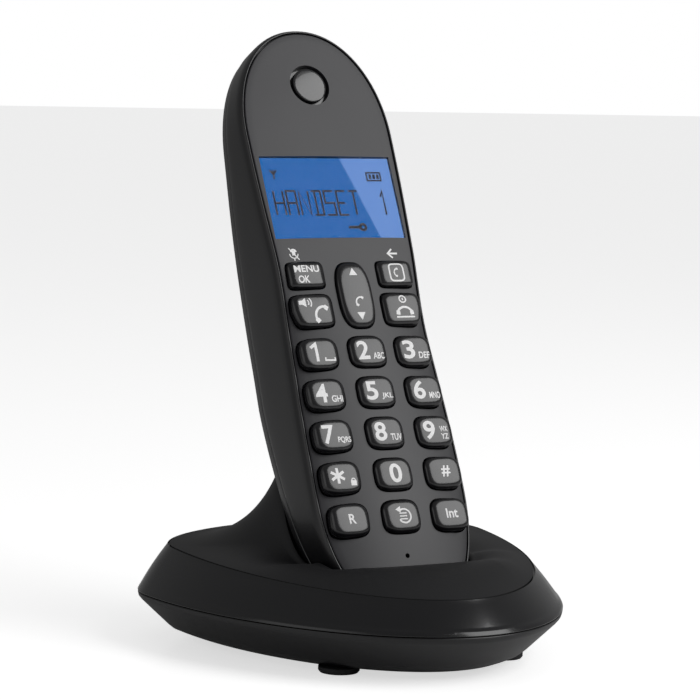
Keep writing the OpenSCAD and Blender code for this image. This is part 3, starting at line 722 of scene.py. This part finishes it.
def key_artwork(name):
    """The mark printed on a key."""
    art = Artwork()
    if name.isdigit() and name not in "01":
        art.text(name, -1.8, 0.1, 3.2, 4.9)
    if name in LETTERS:
        word = LETTERS[name]
        art.text(word, 2.35, -1.45, 3.2 if len(word) == 3 else 3.7, 1.7)
    if name == "1":
        art.line([(-1.3, -2.35), (-1.3, 2.2), (-2.8, 1.2)], 0.78)
        art.line([(0.9, -1.4), (0.9, -2.1), (3.6, -2.1), (3.6, -1.4)], 0.4)
    elif name == "9":
        art.text("WX", 2.3, 0.3, 2.3, 1.4)
        art.text("YZ", 2.3, -1.65, 2.1, 1.4)
    elif name == "0":
        art.text("0", 0, 0, 3.4, 4.9)
    elif name == "star":
        for turn in (30, 90, 150):
            c, n = math.cos(math.radians(turn)) * 2.0, math.sin(math.radians(turn)) * 2.0
            art.line([(-1.4 - c, 0.2 - n), (-1.4 + c, 0.2 + n)], 0.72)
        art.polygon([(1.9, -2.4), (3.5, -2.4), (3.5, -1.1), (1.9, -1.1)])
        art.arc(2.7, -1.1, 0.5, 0, 180, 0.28, 10)
    elif name == "hash":
        art.text("#", 0.2, 0, 2.5, 2.9)
    elif name == "recall":
        art.text("R", 0.1, 0, 1.9, 2.5)
    elif name == "intercom":
        art.text("Int", 0, 0, 3.3, 2.5)
    elif name == "redial":
        art.arc(0.2, -0.2, 1.75, 130, -150, 0.42, 26)
        art.polygon([(-2.0, 1.5), (-0.5, 2.4), (-0.7, 0.6)])
        for i in range(3):
            art.line([(-1.1, 0.5 - 0.75 * i), (0.9, 0.5 - 0.75 * i)], 0.3)
    elif name == "menu":
        art.text("MENU", -0.1, 1.35, 7.0, 1.9)
        art.text("OK", -1.3, -1.45, 3.2, 1.9)
    elif name == "nav":
        art.polygon([(-1.15, 5.0), (1.15, 5.0), (0, 7.0)])
        art.polygon([(1.15, -5.0), (-1.15, -5.0), (0, -7.0)])
        art.receiver(0, -1.9, 2.9, 50)
    elif name == "phonebook":
        corner = [(2.0 * raised(math.cos(a), 5), 2.25 * raised(math.sin(a), 5))
                  for a in (2 * math.pi * i / 40 for i in range(40))]
        art.line(corner, 0.42, True)
        art.receiver(-0.2, 0, 2.3, 80)
    elif name == "talk":
        art.polygon([(-4.1, 1.3), (-3.2, 1.3), (-2.2, 0.6), (-2.2, 3.1), (-3.2, 2.4), (-4.1, 2.4)])
        for r in (1.0, 1.75):
            art.arc(-2.4, 1.85, r, -40, 40, 0.34, 8)
        art.receiver(1.4, -0.9, 5.0, 50)
    elif name == "end":
        art.arc(0.1, 2.3, 0.9, 0, 360, 0.38, 22)
        art.line([(0.1, 1.95), (0.1, 2.65)], 0.36)
        art.receiver(0.1, -0.9, 4.6, 0)
        art.line([(-2.5, -2.5), (2.7, -2.5)], 0.42)
    return art


SEGMENTS = {
    "H": (((0, 0), (0, 1)), ((1, 0), (1, 1)), ((0, 0.5), (1, 0.5))),
    "A": (((0, 0), (0, 1), (1, 1), (1, 0)), ((0, 0.5), (1, 0.5))),
    "N": (((0, 0), (0, 1), (1, 0), (1, 1)),),
    "D": (((0, 0), (1, 0), (1, 1), (0, 1)), ((0.35, 0), (0.35, 1))),
    "S": (((1, 1), (0, 1), (0, 0.5), (1, 0.5), (1, 0), (0, 0)),),
    "E": (((1, 1), (0, 1), (0, 0), (1, 0)), ((0, 0.5), (0.8, 0.5))),
    "T": (((0, 1), (1, 1)), ((0.5, 1), (0.5, 0))),
    "1": (((0.5, 0), (0.5, 1), (0.15, 0.75)),),
}


def display_artwork():
    """What the display shows: a plain label, signal, battery and lock marks."""
    art = Artwork()
    left = -WINDOW_W / 2
    for i, letter in enumerate("HANDSET"):
        for stroke in SEGMENTS[letter]:
            art.line([(left + CELL_X + CELL_STEP * i + CELL_W * u, CELL_FOOT + CELL_H * v)
                      for u, v in stroke], STROKE)
    for stroke in SEGMENTS["1"]:
        art.line([(left + 32.4 + 2.2 * u, CELL_FOOT + CELL_H * v) for u, v in stroke], STROKE)
    art.line([(left + 3.2, 5.2), (left + 3.2, 7.8)], 0.5)
    art.line([(left + 2.2, 7.8), (left + 3.2, 6.5), (left + 4.2, 7.8)], 0.5)
    art.line([(left + 30.0, 4.9), (left + 34.0, 4.9), (left + 34.0, 7.1), (left + 30.0, 7.1)], 0.42, True)
    for i in range(3):
        x = left + 30.6 + 1.1 * i
        art.polygon([(x, 5.35), (x + 0.75, 5.35), (x + 0.75, 6.65), (x, 6.65)])
    art.arc(left + 25.8, -8.0, 0.8, 0, 360, 0.75, 16)
    art.line([(left + 25.3, -8.0), (left + 21.6, -8.0)], 0.8)
    return art


def plate_artwork():
    """Muted microphone and left arrow printed above the upper keys."""
    art = Artwork()
    art.arc(-14.7, 95.3, 0.65, 0, 180, 0.5, 8)
    art.line([(-14.7, 95.6), (-14.7, 94.4)], 0.9)
    art.arc(-14.7, 94.8, 1.15, 180, 360, 0.26, 10)
    art.line([(-14.7, 93.7), (-14.7, 93.0)], 0.3)
    art.line([(-15.9, 96.4), (-13.4, 93.2)], 0.28)
    art.line([(12.3, 94.6), (15.0, 94.6)], 0.5)
    art.line([(13.5, 95.8), (12.2, 94.6), (13.5, 93.4)], 0.45)
    return art


# ---------- settings ----------

class PhoneColours(bpy.types.PropertyGroup):
    casing: bpy.props.FloatVectorProperty(name="Casing", description="Colour of the handset's casing",
                                          default=(0.0032, 0.0032, 0.0042), subtype="COLOR", size=3)
    plate: bpy.props.FloatVectorProperty(name="Face plate", description="Colour of the face plate",
                                         default=(0.0155, 0.0152, 0.0185), subtype="COLOR", size=3)
    keys: bpy.props.FloatVectorProperty(name="Keys", description="Colour of the keys",
                                        default=(0.0042, 0.0040, 0.0052), subtype="COLOR", size=3)
    legend: bpy.props.FloatVectorProperty(name="Legends", description="Colour of the printed marks",
                                          default=(0.9, 0.9, 0.9), subtype="COLOR", size=3)
    display: bpy.props.FloatVectorProperty(name="Display", description="Colour of the lit display",
                                           default=(0.002, 0.125, 0.45), subtype="COLOR", size=3)
    base: bpy.props.FloatVectorProperty(name="Base", description="Colour of the base",
                                        default=(0.0032, 0.0032, 0.0042), subtype="COLOR", size=3)


class PhoneStage(bpy.types.PropertyGroup):
    key_light: bpy.props.FloatProperty(name="Main light", description="Power of the large soft light",
                                       default=5.6, min=0.0, unit="POWER")
    rim_light: bpy.props.FloatProperty(name="Side light", description="Power of the soft light at the left",
                                       default=0.7, min=0.0, unit="POWER")
    surround: bpy.props.FloatProperty(name="Surround", description="Brightness of the white surround",
                                      default=0.24, min=0.0)
    distance: bpy.props.FloatProperty(name="Camera distance", description="From the camera to the phone",
                                      default=VIEW_DISTANCE, min=0.1, unit="LENGTH")


# ---------- operators ----------

class PHONE_OT_handset_shells(bpy.types.Operator):
    """Builds the front shell, the rear shell and the battery door"""
    bl_idname = "phone.handset_shells"
    bl_label = "Handset shells"

    def execute(self, context):
        casing = finish("Satin casing", context.scene.phone_colours.casing, 0.36, coat=0.1)
        # each ring: how far in, how far from face to back, and how far beyond that
        profile = [(PLATE_INSET - 0.25, 0, 0.1), (PLATE_INSET - 0.27, 0, -0.02),
                   (PLATE_INSET - 0.42, 0, -0.1), (PLATE_INSET - 0.6, 0, -0.1),
                   (0.66, 0, 0.05), (0.5, 0, 0.3), (0.3, 0, 0.75),
                   (0.14, 0, 1.3), (0.06, 0, 1.9), (0.02, 0.1, 1.6), (0, 0.3, 1), (0, 0.5, 0),
                   (0, 0.7, -1), (0.1, 0.9, -2.5), (0.2, 1, -PARTING - 0.1), (0.32, 1, -PARTING),
                   (0.25 + WALL, 1, -PARTING), (0.2 + WALL, 0, PLATE_T + 1.5),
                   (PLATE_INSET + LEDGE, 0, PLATE_T + 1.5),
                   (PLATE_INSET + LEDGE, 0, PLATE_T + 0.1), (PLATE_INSET - 0.25, 0, PLATE_T + 0.1)]
        shell = bare("Front_casing", skin([shell_ring(*p) for p in profile], True), True)
        dress(shell, "handset", casing, ["front_shell"], 50)
        insets = (0.35, 0.7, 1.2, 1.8, 2.4, 3.5, 5, 7.5, 10, 13, 16, 18, SPINE)
        rings = [back_ring(d, WALL) for d in (SPINE, 16, 10, 5)]
        rings += [back_ring(2.6, WALL + 0.6), shell_ring(0.25 + WALL, 1, -PARTING + 0.15),
                  shell_ring(0.34, 1, -PARTING + 0.15), shell_ring(0.24, 1, -PARTING + 0.28)]
        rings += [back_ring(d) for d in insets]
        column = box_solid((-DOOR_HALF_W, back_y(DOOR_S) / 2, DOOR_S),
                           (DOOR_HALF_W, DOOR_TOP, DOOR_S + DOOR_LEN))
        rear = bare("Rear_casing", skin(rings), True)
        carve(rear, column, True)
        holes = [prism(circle(side * SCREW_X, SCREW_S, SCREW_HOLE, 40), *SCREW_CUT) for side in (-1, 1)]
        for i in range(-2, 3):
            slot_s = HORN_S + i * HORN_PITCH
            holes.append(box_solid((-HORN_HALF_W, HORN_CUT[0], slot_s - SLOT_HALF),
                                   (HORN_HALF_W, HORN_CUT[1], slot_s + SLOT_HALF)))
        carve(rear, joined(holes), True)
        dress(rear, "handset", casing, ["rear_shell"], 40)
        door = bare("Battery_cover", skin(rings), True)
        inner = box_solid((-DOOR_HALF_W + DOOR_GAP, back_y(DOOR_S) / 2, DOOR_S + DOOR_GAP),
                          (DOOR_HALF_W - DOOR_GAP, DOOR_TOP, DOOR_S + DOOR_LEN - DOOR_GAP))
        carve(door, inner, True, "INTERSECT")
        dress(door, "battery_door", casing, ["battery_door"], 40)
        return {"FINISHED"}


class PHONE_OT_face(bpy.types.Operator):
    """Builds the face plate, the earpiece badge and the printed marks on the plate"""
    bl_idname = "phone.face"
    bl_label = "Face plate and badge"

    def execute(self, context):
        colours = context.scene.phone_colours
        steps = [mix(PLATE_INSET + 0.35, SPINE, (k / PLATE_RINGS) ** PLATE_SPREAD)
                 for k in range(PLATE_RINGS + 1)]
        rings = [shell_ring(steps[k], 0, PLATE_T) for k in (PLATE_RINGS, 9, 5)]
        rings += [shell_ring(PLATE_INSET, 0, PLATE_T), shell_ring(PLATE_INSET, 0, 0.3),
                  shell_ring(PLATE_INSET + 0.07, 0, 0.1), shell_ring(PLATE_INSET + 0.2, 0, 0.02)]
        rings += [shell_ring(d, 0, 0) for d in steps]
        plate = bare("Face_plate", skin(rings), True)
        cuts = [prism([(key.x + u, key.s + v) for u, v in key_outline(key, 1, KEY_GAP)], *THROUGH)
                for key in key_table()]
        cuts.append(window_box(*THROUGH, WINDOW_PLAY))
        for s, r in ((BADGE_S, BADGE_R + BADGE_RECESS), (MIC_S, MIC_R)):
            cuts.append(prism(circle(0, s, r), *THROUGH))
        carve(plate, joined(cuts), True)
        satin = finish("Satin plate", colours.plate, 0.42, grain=1400.0, strength=0.25)
        dress(plate, "handset", satin, ["face_plate"])
        profile = [(6.3, 2.3), (6.3, 1.6), (BADGE_R, 1.55), (BADGE_R, 0.35), (4.62, 0.12), (4.4, 0.0),
                   (4.0, -0.05), (3.0, -0.12), (2.0, -0.17), (1.0, -0.2), (0.1, -0.2)]
        rings = [[(x, y, s) for x, s in circle(0, BADGE_S, r)] for r, y in profile]
        badge = bare("Earpiece_badge", skin(rings), True)
        dress(badge, "handset", finish("Polished badge", (0.009, 0.009, 0.01), 0.2, coat=0.4),
              ["earpiece_badge"], 40)
        marks = plate_artwork().drape("Plate_marks", face_y, (0, 0), 0.03, 0.05)
        dress(marks, "handset", finish("White print", colours.legend, 0.45))
        return {"FINISHED"}


class PHONE_OT_display(bpy.types.Operator):
    """Builds the lens, the lit display and what it shows"""
    bl_idname = "phone.display"
    bl_label = "Display"

    def execute(self, context):
        lens = bare("Display_lens", window_box(LENS_Y, LENS_Y + LENS_T), True)
        dress(lens, "handset", lens_finish(), ["display_window"])
        lit = bare("Display_picture", window_box(LIT_Y, LIT_Y + LIT_T), True)
        dress(lit, "handset", screen_finish(context.scene.phone_colours.display), ["lcd_panel"])
        shown = display_artwork().drape("Display_marks", lambda x, s: LIT_Y, (0, WINDOW_S), 0.02, 0.05)
        dress(shown, "handset", finish("Display ink", (0.0008, 0.002, 0.008), 0.6))
        return {"FINISHED"}


class PHONE_OT_keys(bpy.types.Operator):
    """Builds the twenty keys with their legends"""
    bl_idname = "phone.keys"
    bl_label = "Keys"

    def execute(self, context):
        colours = context.scene.phone_colours
        black = finish("Satin key", colours.keys, 0.24, grain=1600.0, strength=0.1, coat=0.25)
        white = finish("White print", colours.legend, 0.45)
        for key in key_table():
            node = "key_" + key.name
            cap = bare("Keycap_" + key.name, key_solid(key), True)
            dress(cap, node, black, [node], 60)
            marks = key_artwork(key.name).drape("Legend_" + key.name, lambda u, v, k=key: key_top(k, u, v),
                                                (key.x, key.s))
            dress(marks, node, white)
        return {"FINISHED"}


class PHONE_OT_base(bpy.types.Operator):
    """Builds the base: textured cover with its cradle, sloped band and lower shell"""
    bl_idname = "phone.base"
    bl_label = "Base"

    def execute(self, context):
        colour = context.scene.phone_colours.base
        matte = finish("Textured cover", colour, 0.55, grain=1500.0, strength=0.6, height=0.00006)
        gloss = finish("Smooth band", colour, 0.22, strength=0.05, coat=0.15)
        satin = finish("Satin lower shell", tuple(c * 0.75 for c in colour), 0.4)
        rings = [pocket_shrunk(0), pocket_ring(0, CRADLE_GAP, 0)]
        rings += [pocket_ring(k, CRADLE_GAP, 0) for k in (0.15, 0.3, 0.45, 0.6, 0.8)]
        rings += [pocket_ring(1, CRADLE_GAP, 0.3), pocket_ring(1, CRADLE_GAP, -0.1),
                  pocket_ring(1, CRADLE_GAP + 0.25, -0.32), pocket_ring(1, CRADLE_GAP + 0.9, -0.3)]
        rings += [cover_ring(1 - t) for t in (0, 0.03, 0.06, 0.1)]
        rings += [cover_ring(0.9 - 0.9 * i / COVER_STEPS) for i in range(1, COVER_STEPS + 1)]
        rings += [groove_ring(0.3, -0.5), groove_ring(1.6, -0.5), groove_ring(1.6, -3), groove_ring(3, -3)]
        rings += [cover_ring(t, BASE_WALL) for t in (0.06, 0.3, 0.6, 0.9)]
        rings += [pocket_ring(0.5, CRADLE_GAP + COVER_LIP, BASE_WALL / 2),
                  pocket_ring(0, CRADLE_GAP + 1.4, 1.4), pocket_shrunk(1.4)]
        cover = bare("Base_cover", skin(rings), False)
        x, y, z = cover_point(math.pi / 2, PAGE_T)
        points, faces = prism(circle(x, y, PAGE_HOLE, 48), z - PAGE_DEEP, z + PAGE_DEEP)
        carve(cover, ([(px, ps, py) for px, py, ps in points], faces), False)
        pins = [box_solid((side * PIN_X - PIN_HALF_W, PIN_Y[0], PIN_DEEP),
                          (side * PIN_X + PIN_HALF_W, PIN_Y[1], POCKET_FLOOR + 0.5)) for side in (-1, 1)]
        carve(cover, joined(pins), True)
        dress(cover, "base", matte, ["base_upper_cover"], 40)
        rings = [egg_ring(BASE_WALL, EDGE_Z), band_ring(0.4, -BASE_WALL), groove_ring(1.3, -0.7),
                 groove_ring(-0.1, -0.7), groove_ring(-0.12, -0.25), groove_ring(-0.2, -0.1)]
        rings += [band_ring(k, BAND_BULGE * k * (1 - k))
                  for k in (0.94, 0.85, 0.75, 0.65, 0.55, 0.45, 0.35, 0.25, 0.17)]
        rings += [egg_ring(0.5, EDGE_Z + 1.0), egg_ring(0.2, EDGE_Z + 0.5), egg_ring(0.03, EDGE_Z + 0.15),
                  egg_ring(0.08, EDGE_Z)]
        dress(bare("Base_band", skin(rings, True), False), "base", gloss, ["base_band"], 40)
        rings = [egg_ring(22, EDGE_Z - 0.3)]
        profile = [(0.2, EDGE_Z - 0.3), (0.1, EDGE_Z - 0.5), (0.3, EDGE_Z - 1.3), (0.9, EDGE_Z - 2.0),
                   (FACET_INSET - 0.7, FACET_Z + 0.75), (FACET_INSET, FACET_Z + 0.1), (9.0, FLOOR_Z + 1.65),
                   (10.5, FLOOR_Z + 1), (11.8, FLOOR_Z + 0.5), (13, FLOOR_Z + 0.2), (16, FLOOR_Z + 0.05),
                   (22, FLOOR_Z), (28, FLOOR_Z)]
        rings += [egg_ring(d, z) for d, z in profile]
        lower = bare("Base_lower", skin(rings), False)
        niche = box_solid((-NICHE_HALF_W, NICHE_Y, -1), (NICHE_HALF_W, BASE_LEN, EDGE_Z - 1.8))
        carve(lower, niche, False)
        jack_z = FLOOR_Z + FLOOR_WALL
        half = JACK_W / 2 + JACK_PLAY
        sockets = [box_solid((x - half, NICHE_Y - JACK_DEEP - JACK_OVERRUN, jack_z),
                             (x + half, NICHE_Y + JACK_OVERRUN, jack_z + JACK_H + JACK_HEADROOM))
                   for x in (-SOCKET_X, SOCKET_X)]
        carve(lower, joined(sockets), False)
        dress(lower, "base", satin, ["base_lower_shell"], 35)
        return {"FINISHED"}


# Finish name, colour, roughness and metal share, then the CAD pieces that have it
FITTINGS = (
    ("Silicone rubber", (0.1, 0.1, 0.11), 0.7, 0, ("keypad_mat",)),
    ("Light guide", (0.8, 0.85, 0.9), 0.4, 0, ("lcd_backlight",)),
    ("White plastic", (0.7, 0.7, 0.67), 0.5, 0, ("lcd_frame",)),
    ("Circuit board", (0.02, 0.12, 0.05), 0.45, 0, ("handset_board", "base_board")),
    ("Steel can", (0.45, 0.45, 0.47), 0.35, 1, ("earpiece_speaker", "microphone", "loudspeaker")),
    ("Gold plate", (0.8, 0.58, 0.22), 0.25, 1,
     ("antenna", "charge_pads", "charge_contact_left", "charge_contact_right")),
    ("Black plastic", (0.015, 0.015, 0.016), 0.5, 0,
     ("battery_tray", "contact_block", "line_socket", "power_socket")),
    ("Grey button", (0.03, 0.03, 0.034), 0.4, 0, ("page_button",)),
    ("Cell sleeve", (0.03, 0.3, 0.08), 0.3, 0, ("battery_cells",)),
    ("Spring steel", (0.65, 0.65, 0.67), 0.25, 1, ("battery_springs", "battery_contacts")),
    ("Zinc screw", (0.4, 0.4, 0.42), 0.35, 1, ("handset_screws", "base_screws")),
    ("Rubber foot", (0.01, 0.01, 0.011), 0.75, 0, ("base_feet",)),
)


class PHONE_OT_fittings(bpy.types.Operator):
    """Gives the remaining CAD pieces their finishes"""
    bl_idname = "phone.fittings"
    bl_label = "Fittings"

    def execute(self, context):
        for name, colour, rough, metallic, pieces in FITTINGS:
            material = finish(name, colour, rough, metallic=metallic)
            for piece in pieces:
                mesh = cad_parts[piece].data
                mesh.shade_smooth()
                mesh.set_sharp_from_angle(angle=math.radians(30))
                mesh.materials.clear()
                mesh.materials.append(material)
        return {"FINISHED"}


class PHONE_OT_stage(bpy.types.Operator):
    """Sets up the white sweep, the soft lights and the camera"""
    bl_idname = "phone.stage"
    bl_label = "Stage"

    def execute(self, context):
        scene, settings = context.scene, context.scene.phone_stage
        azimuth, elevation, roll = (math.radians(v) for v in VIEW)
        back = Vector((math.sin(azimuth) * math.cos(elevation), -math.cos(azimuth) * math.cos(elevation),
                       math.sin(elevation)))
        right = Vector((math.cos(azimuth), math.sin(azimuth), 0))
        up = back.cross(right)
        turned = right * math.cos(roll) + up * math.sin(roll)
        upright = up * math.cos(roll) - right * math.sin(roll)
        camera = bpy.data.objects.new("Camera", bpy.data.cameras.new("Camera"))
        camera.data.lens, camera.data.sensor_width = VIEW_LENS, 36.0
        camera.data.clip_start = 0.01
        place_at = Matrix((turned, upright, back)).transposed().to_4x4()
        place_at.translation = Vector(VIEW_TARGET) + back * settings.distance
        camera.matrix_world = place_at
        scene.collection.objects.link(camera)
        scene.camera = camera
        world = bpy.data.worlds.new("Surround")
        scene.world = world
        world.use_nodes = True
        sky = world.node_tree.nodes["Background"]
        sky.inputs["Color"].default_value = (1, 1, 1, 1)
        sky.inputs["Strength"].default_value = settings.surround
        lit_up(world.node_tree, sky, world.node_tree.nodes["World Output"])
        floor = bare("Floor", box_solid((-FLOOR_HALF, -FLOOR_HALF, -FLOOR_T),
                                        (FLOOR_HALF, FLOOR_HALF, -FLOOR_DROP)), False)
        floor.data.materials.append(floor_finish())
        for name, power, size, spot in (("Main_light", settings.key_light, MAIN_SIZE, MAIN_SPOT),
                                        ("Side_light", settings.rim_light, SIDE_SIZE, SIDE_SPOT)):
            light = bpy.data.objects.new(name, bpy.data.lights.new(name, "AREA"))
            light.data.energy, light.data.size = power, size
            light.location = spot
            aim = Vector(LIGHT_AIM) - Vector(spot)
            light.rotation_euler = aim.to_track_quat("-Z", "Y").to_euler()
            scene.collection.objects.link(light)
        scene.view_settings.view_transform = "Standard"
        return {"FINISHED"}


class PHONE_PT_panel(bpy.types.Panel):
    """Buttons that build each part of the phone"""
    bl_label = "Cordless phone"
    bl_idname = "PHONE_PT_panel"
    bl_space_type = "VIEW_3D"
    bl_region_type = "UI"
    bl_category = "Phone"

    def draw(self, context):
        for operator in OPERATORS:
            self.layout.operator(operator.bl_idname)
        for group in (context.scene.phone_colours, context.scene.phone_stage):
            for name in group.__annotations__:
                self.layout.prop(group, name)


OPERATORS = (PHONE_OT_stage, PHONE_OT_handset_shells, PHONE_OT_face, PHONE_OT_display, PHONE_OT_keys,
             PHONE_OT_base, PHONE_OT_fittings)
CLASSES = (PhoneColours, PhoneStage, *OPERATORS, PHONE_PT_panel)


def register():
    for cls in CLASSES:
        bpy.utils.register_class(cls)
    bpy.types.Scene.phone_colours = bpy.props.PointerProperty(type=PhoneColours)
    bpy.types.Scene.phone_stage = bpy.props.PointerProperty(type=PhoneStage)


def unregister():
    del bpy.types.Scene.phone_stage
    del bpy.types.Scene.phone_colours
    for cls in reversed(CLASSES):
        bpy.utils.unregister_class(cls)


def main():
    register()
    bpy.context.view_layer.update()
    for operator in (bpy.ops.phone.stage, bpy.ops.phone.handset_shells, bpy.ops.phone.face,
                     bpy.ops.phone.display, bpy.ops.phone.keys, bpy.ops.phone.base, bpy.ops.phone.fittings):
        operator()


if __name__ == "__main__":
    main()
